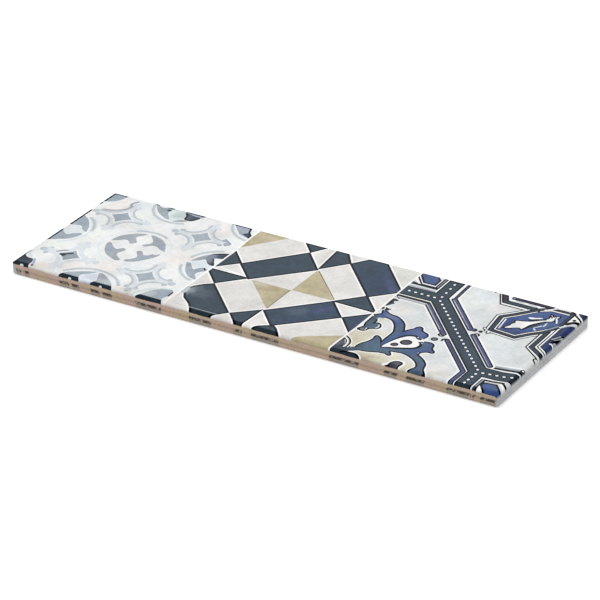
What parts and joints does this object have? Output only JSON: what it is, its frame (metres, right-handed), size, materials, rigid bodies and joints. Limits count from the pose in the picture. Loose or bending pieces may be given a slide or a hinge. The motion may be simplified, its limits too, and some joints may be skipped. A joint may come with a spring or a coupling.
{
  "type": "decorative wall tile",
  "caption": "Flat oblong glazed ceramic wall tile with a cushioned face edge, a pressed shoulder and a ribbed key back, printed with a patchwork of traditional ornament.",
  "frame": {"origin": "middle of the back's bearing plane, under the centre of the face", "axes": "+X along the tile's length, +Y across its width, +Z out of the glazed face"},
  "size_m": [0.3, 0.1, 0.0075],
  "materials": {
    "glazed_tile": "gloss glaze with an off-white ground and slate, cobalt and ochre print, over an unglazed pink-buff fired clay body"
  },
  "bodies": {
    "root": {"tile": "glazed_tile"}
  },
  "joints": []
}
